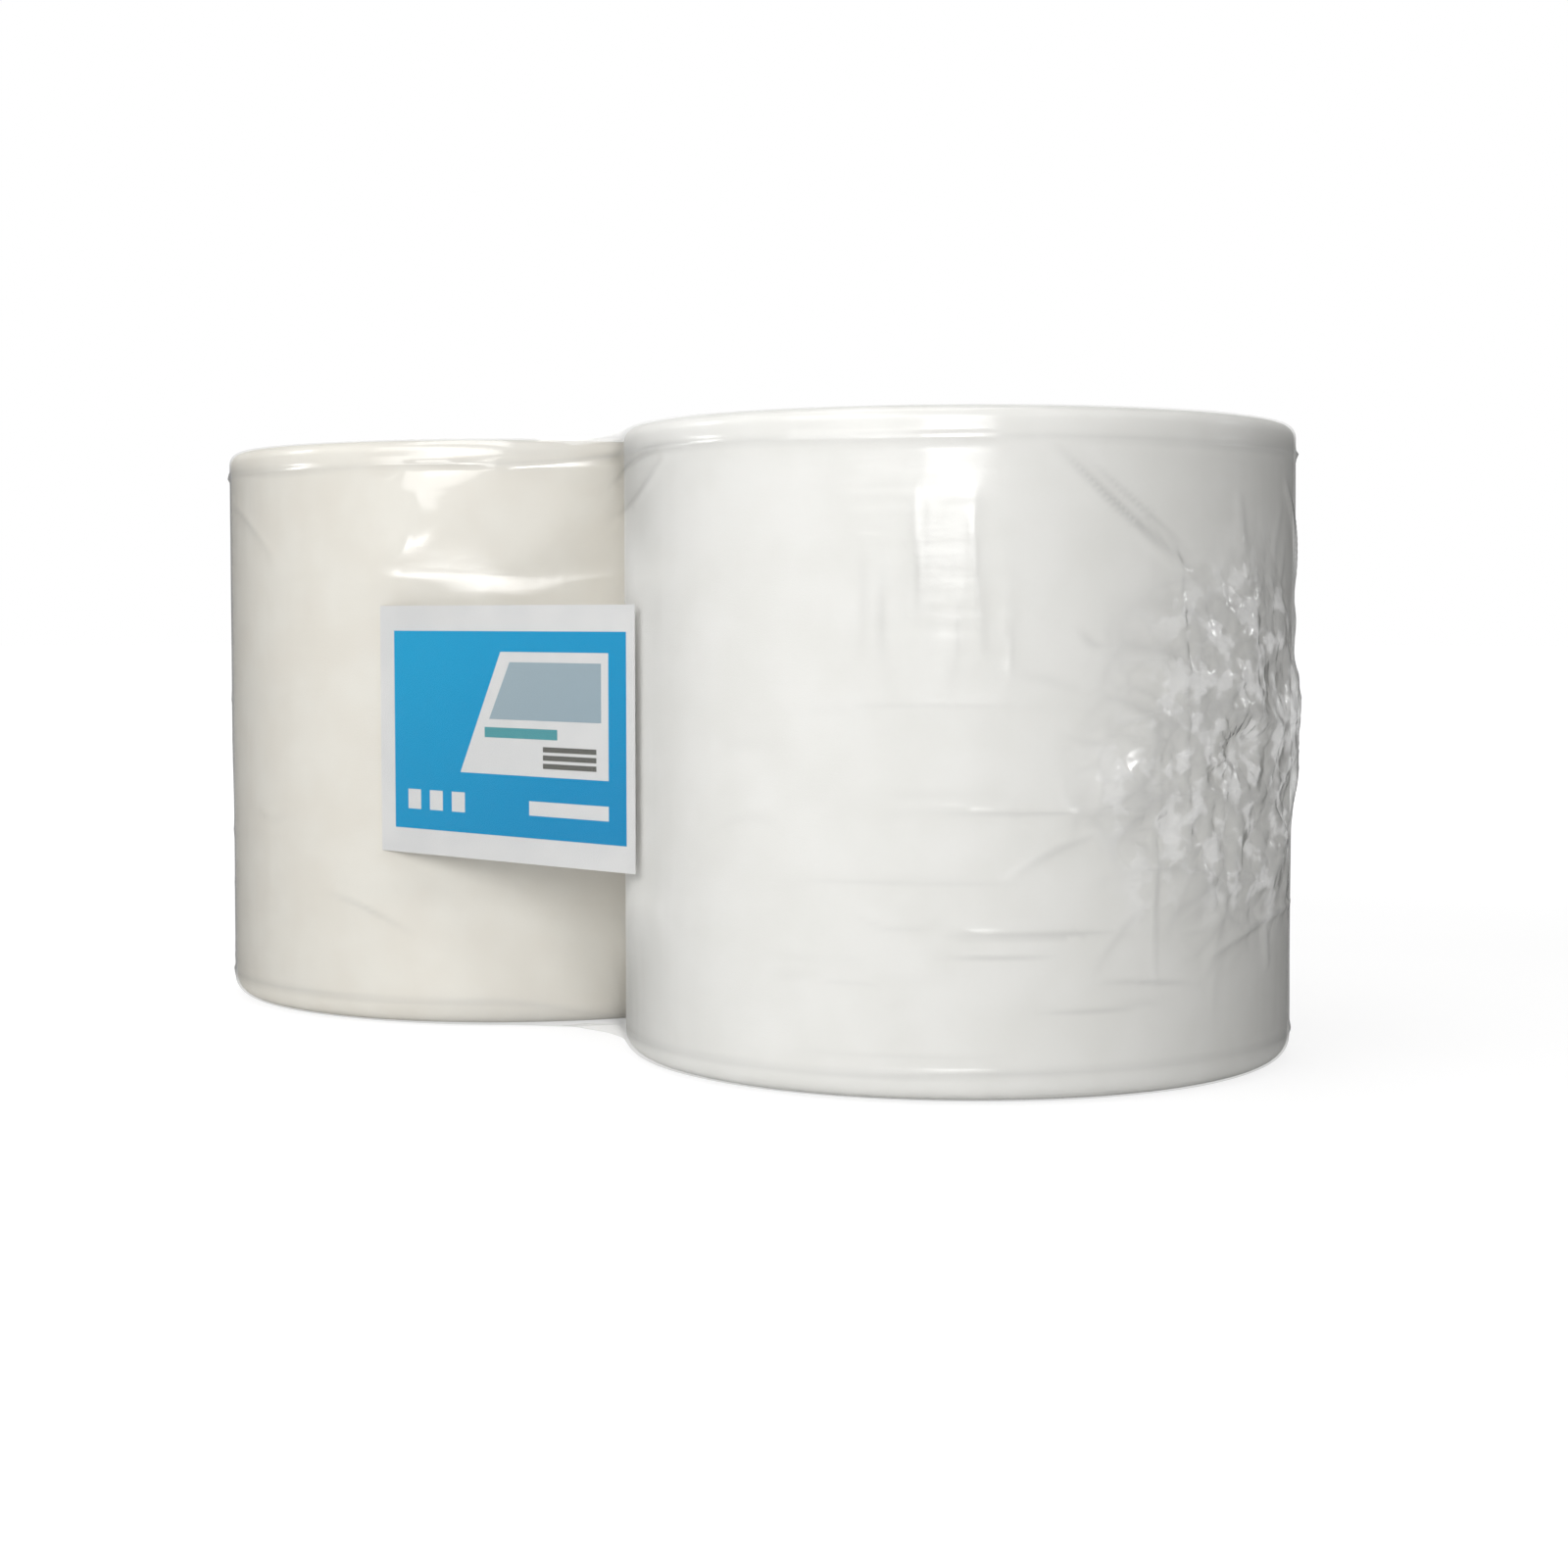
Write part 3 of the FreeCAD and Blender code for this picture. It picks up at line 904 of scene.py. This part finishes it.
@dataclass
class ShrinkFilm:
    """The film round both rolls: a tight skin, dipped between them, gathered to an eye at each end."""

    finish: FilmFinish
    foot: float = 8.7 * MM
    shoulder: float = 5.7 * MM
    step_around: float = 3.7 * MM
    step_up: float = 3.4 * MM
    rim_band: float = 14 * MM
    cap_rings: int = 14
    end_dip: float = 50 * MM
    back_dip: float = 15 * MM
    label_rim: float = 10 * MM
    bend: float = 5 * MM
    web_hollow: float = 4.0 * MM
    gather_reach: float = 92 * MM
    gather_rise: float = 2.2 * MM
    crumple_rise: float = 3.4 * MM
    coarse_facets: float = 33.0
    fine_facets: float = 80.0
    pleats: int = 17
    rays: int = 20
    pulls: int = 11
    bare_rise: float = 14 * MM
    tight_ease: float = 2.4 * MM
    loose_ease: float = 4.0 * MM
    sway: float = 0.5 * MM
    top_hem: float = 12.0 * MM
    top_hem_rise: float = 1.6 * MM
    foot_hem: float = 11.5 * MM
    foot_hem_rise: float = 0.8 * MM
    hole_edge: tuple[float, float] = (18 * MM, 32 * MM)
    hole_sag: float = 1.6 * MM
    web_sag: float = 6 * MM
    wrinkle_sag: float = 0.3 * MM
    fine_share: float = 1.08
    fine_fold: float = 0.15 * MM
    sink: float = 0.2 * MM
    sink_ease: float = 0.12 * MM
    label_gap: float = 0.8 * MM

    def __post_init__(self) -> None:
        """Take the film's size and place from the frame."""
        low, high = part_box("shrink_film")
        self.radius = high.y
        self.height = high.z
        roll_low, roll_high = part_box("right_roll")
        self.axis = (roll_low.x + roll_high.x) / 2
        label_low, label_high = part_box("label_sheet")
        self.middle = (label_low.z + label_high.z) / 2
        self.label_across = (label_low.x + label_high.x) / 2
        self.label_half_width = (label_high.x - label_low.x) / 2
        self.label_half_height = (label_high.z - label_low.z) / 2
        self.front_dip = self.radius + label_low.y - self.label_gap

    def columns(self) -> tuple[Array, Array, Array]:
        """The stations round the pack.

        Returns:
            For each station, the x of its root on the line between the axes, and its outward x and y.
        """
        flat = round(2 * self.axis / self.step_around)
        curved = round(math.pi * self.radius / self.step_around)
        across = np.linspace(-self.axis, self.axis, flat, endpoint=False)
        turn = np.linspace(-math.pi / 2, math.pi / 2, curved, endpoint=False)
        ends = np.full(curved, self.axis)
        roots = np.concatenate([across, ends, -across, -ends])
        zeros = np.zeros(flat)
        out_x = np.concatenate([zeros, np.cos(turn), zeros, -np.cos(turn)])
        out_y = np.concatenate([zeros - 1, np.sin(turn), zeros + 1, -np.sin(turn)])
        closed = [np.append(values, values[0]) for values in (roots, out_x, out_y)]
        return closed[0], closed[1], closed[2]

    def rows(self) -> tuple[Array, Array, Array]:
        """The stations up the pack, from the middle of its base to the middle of its top.

        Returns:
            For each station, its height, its share of the full reach, and how far it is drawn in.
        """
        ring = np.linspace(0, 1, self.cap_rings, endpoint=False) ** 0.8
        curve = np.linspace(0, math.pi / 2, 9)
        low, high = self.foot, self.height - self.shoulder
        steps = round((high - low - 2 * self.rim_band) / self.step_up)
        wall = np.concatenate([
            np.arange(low, low + self.rim_band, self.step_up / 2)[1:],
            np.linspace(low + self.rim_band, high - self.rim_band, steps),
            np.arange(high, high - self.rim_band, -self.step_up / 2)[:0:-1],
        ])
        heights = [ring * 0, self.foot * (1 - np.cos(curve)), wall]
        heights += [self.height - self.shoulder * (1 - np.cos(curve[::-1])), ring * 0 + self.height]
        shares = [ring, curve * 0 + 1, wall * 0 + 1, curve * 0 + 1, ring[::-1]]
        drawn = [ring * 0 + self.foot, self.foot * (1 - np.sin(curve)), wall * 0]
        drawn += [self.shoulder * (1 - np.sin(curve[::-1])), ring * 0 + self.shoulder]
        return np.concatenate(heights), np.concatenate(shares), np.concatenate(drawn)

    def dip(self, height: Array, front: Array) -> Array:
        """How deep the web between the rolls lies inside their common tangent."""
        half = self.height / 2
        away = np.abs(height - self.middle)
        flat = self.label_half_height + self.label_rim
        slope = (self.end_dip - self.front_dip) / (half - flat)
        front_dip = self.front_dip + slope * self.bend * np.logaddexp(0, (away - flat) / self.bend)
        back_dip = self.back_dip + (self.end_dip - self.back_dip) * (away / half) ** 2
        return np.where(front, front_dip, back_dip)

    def reach(self, root: Array, out_y: Array, height: Array) -> Array:
        """How far the skin stands from the line between the axes."""
        drum = np.sqrt(self.radius**2 - np.minimum(self.axis - np.abs(root), self.radius) ** 2)
        dip = self.dip(height, out_y < 0)
        bare = step(np.abs(height - self.middle) - self.label_half_height, 0, self.bare_rise)
        hollow = np.maximum(1 - (root / (0.5 * self.axis)) ** 2, -1)
        dip = dip + self.web_hollow * bare * (hollow - 1)
        web = self.radius - dip
        deeper = (dip - self.front_dip) / (self.end_dip - self.front_dip)
        ease = self.tight_ease + self.loose_ease * deeper
        skin = ease * np.logaddexp(drum / ease, web / ease)
        on_roll = np.abs(root) >= self.axis - 1e-6
        return np.where(on_roll, self.radius, np.minimum(skin, self.radius))

    def unroll(self, places: Array) -> tuple[Array, Array]:
        """Where places lie on the unrolled skin.

        Args:
            places: one row for each place.

        Returns:
            The sign of the roll's side, and the distance round that roll from its front towards +X.
        """
        sign = np.where(places[:, 0] < 0, -1.0, 1.0)
        across = places[:, 0] - sign * self.axis
        around = self.radius * np.arctan2(across, -places[:, 1])
        behind = sign * math.pi * self.radius - across
        flat = np.where(places[:, 1] < 0, across, behind)
        return sign, np.where(np.abs(places[:, 0]) > self.axis, around, flat)

    def gather_middles(self) -> dict[Side, Place]:
        """The middle of the gathered film on each side."""
        return {side: (side.value * (self.axis + self.radius), 0.0, self.height / 2) for side in Side}

    def from_gathers(self, places: Array) -> Array:
        """How far places lie from the nearer gather's middle."""
        middles = [np.array(middle) for middle in self.gather_middles().values()]
        return np.minimum.reduce([np.linalg.norm(places - middle, axis=1) for middle in middles])

    def gather(self, side: Side, places: Array, around: Array) -> tuple[Array, Array]:
        """The bunched pleats and crumples round one eye.

        Args:
            side: the end of the pack.
            places: one row for each place.
            around: the places' distances round the roll from its front.

        Returns:
            The lift at each place, and how sharply creased it is there.
        """
        level = around - side.value * math.pi / 2 * self.radius
        up = places[:, 2] - self.height / 2
        away = np.hypot(level, up)
        near = away < self.gather_reach * 1.25
        lift, creased = np.zeros(len(places)), np.zeros(len(places))
        level, up, away = level[near], up[near], away[near]
        spots = places[near]
        turn = np.arctan2(up, level)
        ring = np.stack([np.cos(turn), np.sin(turn), away * 0], axis=1)
        reach = self.gather_reach * (1 + 0.22 * soft_noise(ring, (2.1, 2.1, 1.0), 3.0 * side.value))
        swing = 1.2 * soft_noise(spots, 24, 9.0 * side.value)
        wave = self.pleats * turn / (2 * math.pi) + swing * (0.3 + away / self.gather_reach)
        crest = 1 - np.abs(2 * (wave % 1.0) - 1)
        uneven = 0.65 + 0.7 * soft_noise(spots, 40, 21.0)
        fade = 1 - step(away, reach * 0.5, reach)
        start = step(away, 2.5 * MM, 9 * MM)
        pleat = uneven * crest**1.3 * (1 - step(away, reach * 0.05, reach * 0.28))
        bent = spots + 7 * MM * soft_noise(spots, 40, 30.0)[:, None]
        coarse = crease_noise(bent, self.coarse_facets, 2.0 + side.value)
        fine = crease_noise(bent, self.fine_facets, 7.0 + side.value)
        swell = 0.5 + soft_noise(spots, 30, 12.0)
        crumple = (0.75 * coarse + 0.35 * fine + swell) * step(away, 4 * MM, 16 * MM)
        lift[near] = start * fade * (self.gather_rise * pleat + self.crumple_rise * crumple)
        creased[near] = start * fade * np.maximum.reduce([coarse**4, 0.6 * fine**4, 0.25 * pleat**3])
        return lift, creased

    def gather_folds(self, side: Side) -> list[Fold]:
        """The long folds that run out from the gathered film at one end."""
        quarter = side.value * math.pi / 2 * self.radius
        found = []
        for ray in range(self.rays):
            turn = math.radians(18 * ray + 7 * math.sin(2.3 * ray + side.value))
            near = self.gather_reach * (0.72 + 0.1 * math.sin(1.7 * ray))
            far = self.gather_reach * (1.1 + 0.16 * math.sin(2.9 * ray + 1.3 * side.value))
            ends = []
            for away in (near, far):
                level = quarter + away * math.cos(turn)
                up = self.height / 2 + away * math.sin(turn)
                ends.append((math.degrees(level / self.radius), up))
            rise = (0.55 + 0.3 * math.sin(4.1 * ray)) * MM
            found.append(Fold(side, ends[0], ends[1], rise, 3.0 * MM, 3 * MM * math.sin(3.3 * ray)))
        return found

    def level_folds(self, side: Side) -> list[Fold]:
        """The faint level pulls across the front of one roll."""
        found = []
        for line in range(self.pulls):
            up = self.height * (0.07 + 0.05 * line + 0.02 * math.sin(3.7 * line))
            start = side.value * (8 + 14 * math.sin(1.9 * line))
            run = side.value * (34 + 16 * math.sin(2.6 * line + 1))
            rise = (0.18 + 0.10 * math.sin(5.3 * line)) * MM
            drop = 4 * MM * math.sin(1.3 * line)
            found.append(Fold(side, (start, up), (start + run, up + drop), rise, 1.8 * MM, 2 * drop))
        return found

    def upright_folds(self) -> list[Fold]:
        """The short upright pulls below the shoulder of the right roll."""
        found = []
        for line in range(self.pulls):
            turn = 26 + 2.3 * line + 1.5 * math.sin(2.2 * line)
            top = self.height * (0.82 - 0.08 * math.sin(1.4 * line))
            drop = self.height * (0.2 + 0.1 * math.sin(3.1 * line))
            rise = (0.36 + 0.2 * math.sin(4.7 * line)) * MM
            lean = 1.5 * math.sin(2.9 * line)
            found.append(Fold(Side.RIGHT, (turn, top), (turn + lean, top - drop), rise, 1.9 * MM))
        return found

    def single_folds(self) -> list[Fold]:
        """The few strong folds, each in its own place."""
        return [
            Fold(side, (turn, up * MM), (end_turn, end_up * MM), rise * MM, width * MM, bow * MM)
            for side, rows in SINGLE_FOLDS.items()
            for turn, up, end_turn, end_up, rise, width, bow in rows
        ]

    def folds(self) -> list[Fold]:
        """All the folds that run across the skin."""
        found = self.single_folds()
        for side in Side:
            found += self.gather_folds(side) + self.level_folds(side)
        return found + self.upright_folds()

    def fold_relief(self, places: Array) -> tuple[Array, Array]:
        """How far the folds lift the skin at many places, and how sharply they crease it there."""
        sign, around = self.unroll(places)
        lift, creased = np.zeros(len(places)), np.zeros(len(places))
        for fold in self.folds():
            on_side = sign == fold.side.value
            shape = fold.shape(around[on_side], places[on_side, 2], self.radius)
            lift[on_side] += fold.rise * shape
            sharp = min(1.0, abs(fold.rise) / (1.2 * MM))
            narrow = min(1.0, (2.4 * MM / fold.width) ** 2)
            creased[on_side] = np.maximum(creased[on_side], shape**3 * sharp * narrow)
        return lift, creased

    def wall_relief(self, places: Array) -> tuple[Array, Array]:
        """How far the standing skin is lifted off its even form at many places.

        Args:
            places: one row for each place.

        Returns:
            The lift at each place, and how sharply creased it is there, from 0 to 1.
        """
        sign, around = self.unroll(places)
        up = places[:, 2]
        lift, creased = self.fold_relief(places)
        lift += self.sway * soft_noise(places, (14, 14, 22), 5.0)
        for side in Side:
            on_side = sign == side.value
            bunch, sharp = self.gather(side, places[on_side], around[on_side])
            lift[on_side] += bunch
            creased[on_side] = np.maximum(creased[on_side], sharp)
        wander = 2.5 * MM * soft_noise(places, 9, 1.0)
        come_and_go = 0.75 + 0.6 * soft_noise(places, 16, 17.0)
        shoulder = bump_at(up - (self.height - self.top_hem) - wander, 1.4 * MM) * come_and_go
        foot = bump_at(up - self.foot_hem - wander, 1.6 * MM) * come_and_go
        lift += self.top_hem_rise * shoulder + self.foot_hem_rise * foot
        # The hems also feed the crease mask, which the film's material turns into a line of painted
        # shade along the shoulder and the foot.
        creased = np.maximum(creased, 0.5 * np.maximum(shoulder, foot))
        on_wall = step(up, 0.2 * self.foot, self.foot)
        on_wall *= 1 - step(up, self.height - self.shoulder, self.height - 0.2 * self.shoulder)
        return lift * on_wall, np.clip(creased * on_wall, 0, 1)

    def cap_sag(self, places: Array) -> Array:
        """How far the skin over the roll ends is drawn into the pack."""
        away = np.hypot(np.abs(places[:, 0]) - self.axis, places[:, 1])
        hollow = 1 - step(away, *self.hole_edge)
        between = step(away, self.radius, self.radius * 1.25)
        spots = np.stack([places[:, 0] / (away + 0.02), places[:, 1] / (away + 0.02), away], axis=1)
        wrinkle = 1 - 3 * np.abs(soft_noise(spots, (1.1, 1.1, 9), 2.0))
        wrinkle *= step(away, 50 * MM, 120 * MM)
        sag = self.hole_sag * hollow + self.web_sag * between
        sag += self.wrinkle_sag * (1 - np.maximum(wrinkle, -1))
        inside = step(np.minimum(places[:, 2], self.height - places[:, 2]), 0.0, self.shoulder * 0.5)
        return sag * (1 - inside)

    def skin(self) -> Piece:
        """The even skin: a sheet wrapped round both rolls and closed at its seam, base and top."""
        roots, out_x, out_y = self.columns()
        heights, shares, drawn = self.rows()
        wide, tall = len(roots) - 1, len(heights) - 1
        sheet = bpy.ops.mesh.primitive_grid_add
        piece = add_piece("film_wrap", sheet, x_subdivisions=wide, y_subdivisions=tall, size=2)
        flat = read_points(piece)
        column = np.rint((flat[:, 0] + 1) / 2 * wide).astype(int)
        row = np.rint((flat[:, 1] + 1) / 2 * tall).astype(int)
        height = heights[row]
        reach = shares[row] * (self.reach(roots[column], out_y[column], height) - drawn[row])
        across, deep = roots[column] + out_x[column] * reach, out_y[column] * reach
        write_points(piece, np.stack([across, deep, height], axis=1))
        bpy.ops.object.mode_set(mode="EDIT")
        bpy.ops.mesh.select_all(action="SELECT")
        bpy.ops.mesh.remove_doubles(threshold=SAME_PLACE)
        bpy.ops.mesh.normals_make_consistent(inside=False)
        leave_edit()
        return piece

    def build(self) -> Piece:
        """Model and dress the film.

        Returns:
            The film.
        """
        piece = self.skin()
        fine_reach = self.gather_reach * self.fine_share
        centres = read_rows(piece.data.polygons, "center")
        refine_marked(piece, self.from_gathers(centres) < fine_reach, 2)
        centres = read_rows(piece.data.polygons, "center")
        folded = np.abs(self.fold_relief(centres)[0]) > self.fine_fold
        refine_marked(piece, folded & (self.from_gathers(centres) > fine_reach), 1)
        places = read_points(piece)
        outwards = read_normals(piece)
        lift, creased = self.wall_relief(places)
        lift = self.sink_ease * np.logaddexp(0, (lift + self.sink) / self.sink_ease) - self.sink
        sag = self.cap_sag(places) * np.sign(places[:, 2] - self.height / 2)
        places = places + outwards * lift[:, None]
        places[:, 2] -= sag
        write_points(piece, places)
        # The crease mask darkens the film's see-through colour: painted shade along the folds, hems and
        # crumples.
        piece.data.attributes.new("crease", "FLOAT", "POINT").data.foreach_set("value", creased)
        dress(piece, self.finish.build(self))
        close_piece(piece, math.radians(180))
        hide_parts("shrink_film")
        return piece


# ---------------------------------------------------------------- the studio


@dataclass(frozen=True)
class Lamp:
    """One soft box: where it stands, how big it is and how strong."""

    name: str
    azimuth: float
    elevation: float
    distance: float
    width: float
    height: float
    power: float

    def build(self, target: Vector) -> None:
        """Add the lamp, turned to the target."""
        turn, rise = math.radians(self.azimuth), math.radians(self.elevation)
        level = math.cos(rise)
        away = Vector((math.sin(turn) * level, -math.cos(turn) * level, math.sin(rise)))
        bpy.ops.object.light_add(type="AREA", location=target + away * self.distance)
        lamp = bpy.context.object
        lamp.name = self.name
        lamp.rotation_euler = (-away).to_track_quat("-Z", "Y").to_euler()
        lamp.data.shape = "RECTANGLE"
        lamp.data.size = self.width
        lamp.data.size_y = self.height
        lamp.data.energy = self.power


@dataclass
class Studio:
    """A white floor and surroundings, soft lamps and the camera."""

    lamps: tuple[Lamp, ...] = (
        Lamp("key_box", 6.0, 23.0, 1.9, 1.2, 0.8, 7.0),
        Lamp("camera_box", 30.0, 15.0, 1.9, 1.3, 0.5, 5.5),
        Lamp("glint_box", 43.0, 12.0, 1.9, 0.6, 0.5, 6.2),
        Lamp("left_box", -48.0, 21.0, 2.0, 0.22, 0.38, 4.4),
        Lamp("top_box", 12.0, 74.0, 1.8, 1.3, 1.3, 12.0),
        Lamp("right_glint_box", 136.0, 16.0, 1.9, 0.16, 0.2, 0.5),
        Lamp("back_box", 222.0, 22.0, 2.0, 1.4, 1.0, 10.5),
    )
    surround: float = 0.225
    camera_place: Place = (0.858, -0.861, 0.1817)
    camera_azimuth: float = 43.54
    camera_pitch: float = -3.57
    camera_lens: float = 60.76
    camera_sensor: float = 36.0
    floor_size: float = 30.0
    floor_drop: float = 0.2 * MM
    floor_bounce: float = 0.76
    floor_glow: float = 0.82
    floor_fade: tuple[float, float] = (0.5, 1.6)
    floor_shadow: float = 0.26

    def seen(self, hand: Tree) -> object:
        """A mask that is 1 for rays that see the surroundings and 0 for those that light the pack."""
        ray = hand.add("LightPath")
        mask = ray.outputs["Is Camera Ray"]
        for name in ("Is Glossy Ray", "Is Transmission Ray"):
            mask = hand.sum("MAXIMUM", mask, ray.outputs[name])
        return mask

    def build_world(self) -> None:
        """White where it is seen, and a plain grey light on the pack."""
        world = bpy.data.worlds.new("surroundings")
        world.use_nodes = True
        bpy.context.scene.world = world
        hand = Tree(world.node_tree)
        level = hand.plus_times(self.seen(hand), 1 - self.surround, self.surround)
        hand.show(hand.add("Background", {"Color": (1, 1, 1, 1), "Strength": level}), "OutputWorld")

    def build_floor(self) -> Piece:
        """The floor, which keeps the pack's soft shadow and fades to plain white away from it."""
        plane = bpy.ops.mesh.primitive_plane_add
        place = (0, 0, -self.floor_drop)
        floor = add_piece("studio_floor", plane, size=self.floor_size, location=place)
        material, hand = new_material("floor_white")
        seen = self.seen(hand)
        away = hand.vector("LENGTH", {0: hand.places()})
        glow = hand.spread(away, *self.floor_fade, self.floor_glow, 1.0)
        colour = hand.blend(seen, [self.floor_bounce] * 3, [self.floor_shadow] * 3)
        paint = hand.add("BsdfDiffuse", {0: colour})
        light = hand.add("Emission", {0: (1, 1, 1, 1), 1: hand.times(glow, seen)})
        hand.show(hand.add("AddShader", {0: paint.outputs[0], 1: light.outputs[0]}))
        dress(floor, material)
        floor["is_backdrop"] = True
        return floor

    def build_camera(self) -> None:
        """The camera, a little above the middle of the pack and off its right-hand corner."""
        turn = (math.radians(90 + self.camera_pitch), 0, math.radians(self.camera_azimuth))
        bpy.ops.object.camera_add(location=self.camera_place, rotation=turn)
        camera = bpy.context.object
        camera.data.lens = self.camera_lens
        camera.data.sensor_width = self.camera_sensor
        bpy.context.scene.camera = camera

    def build(self, target: Vector) -> None:
        """Set up the studio round the pack's middle."""
        self.build_camera()
        self.build_world()
        self.build_floor()
        for lamp in self.lamps:
            lamp.build(target)
        bpy.context.scene.view_settings.view_transform = "Standard"


# ---------------------------------------------------------------- the pack

RIGHT_TISSUE = PaperFinish(
    name="tissue_white",
    light=(0.90, 0.895, 0.87),
    shade=(0.865, 0.86, 0.83),
    fibre_scale=1400.0,
    mottle_scale=38.0,
    relief=0.12 * MM,
    roughness=0.95,
    sheen=0.1,
)
# Painted light: the left roll's tissue is a warmer, slightly darker copy of the right one's, standing
# in for warmer light on the left roll.
LEFT_TISSUE_PAINTED_WARM_LIGHT = replace(
    RIGHT_TISSUE, name="tissue_warm", light=(0.88, 0.854, 0.785), shade=(0.845, 0.81, 0.735)
)
BOARD = PaperFinish(
    name="core_board",
    light=(0.42, 0.30, 0.19),
    shade=(0.34, 0.235, 0.14),
    fibre_scale=700.0,
    mottle_scale=55.0,
    relief=0.15 * MM,
    roughness=0.9,
)
LABEL_STOCK = PaperFinish(
    name="label_stock",
    light=(0.80, 0.80, 0.80),
    shade=(0.76, 0.765, 0.77),
    fibre_scale=900.0,
    mottle_scale=45.0,
    relief=0.03 * MM,
    roughness=0.5,
)
INKS = {
    "label_blue_print": ((0.0, 0.38, 0.70), (0.0, 0.27, 0.56)),
    "label_grey_print": ((0.40, 0.50, 0.55), (0.31, 0.41, 0.48)),
    "label_teal_print": ((0.10, 0.37, 0.40), (0.08, 0.33, 0.38)),
    "label_dark_print": ((0.16, 0.16, 0.14), (0.13, 0.13, 0.12)),
}


def main() -> None:
    """Build the pack in order: studio, cores, rolls, label, film."""
    cad_low, cad_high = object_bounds()
    Studio().build((cad_low + cad_high) / 2)
    LOG.info("studio ready")
    fibre = fibre_group()
    for side, paper in ((Side.LEFT, LEFT_TISSUE_PAINTED_WARM_LIGHT), (Side.RIGHT, RIGHT_TISSUE)):
        core_low, core_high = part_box(f"{side.name.lower()}_core")
        axis_x = (core_low.x + core_high.x) / 2
        core = WindingCore(side, BoardFinish(BOARD, axis_x)).build(fibre)
        LOG.info("%s: %d faces", core.name, len(core.data.polygons))
        roll = PaperRoll(side, TissueFinish(paper, axis_x)).build(fibre)
        LOG.info("%s: %d faces", roll.name, len(roll.data.polygons))
    count = PackLabel(LABEL_STOCK, INKS).build(fibre)
    LOG.info("label: %d nodes dressed", count)
    film = ShrinkFilm(FilmFinish()).build()
    LOG.info("%s: %d faces", film.name, len(film.data.polygons))


if __name__ == "__main__":
    logging.basicConfig(level=logging.INFO)
    main()
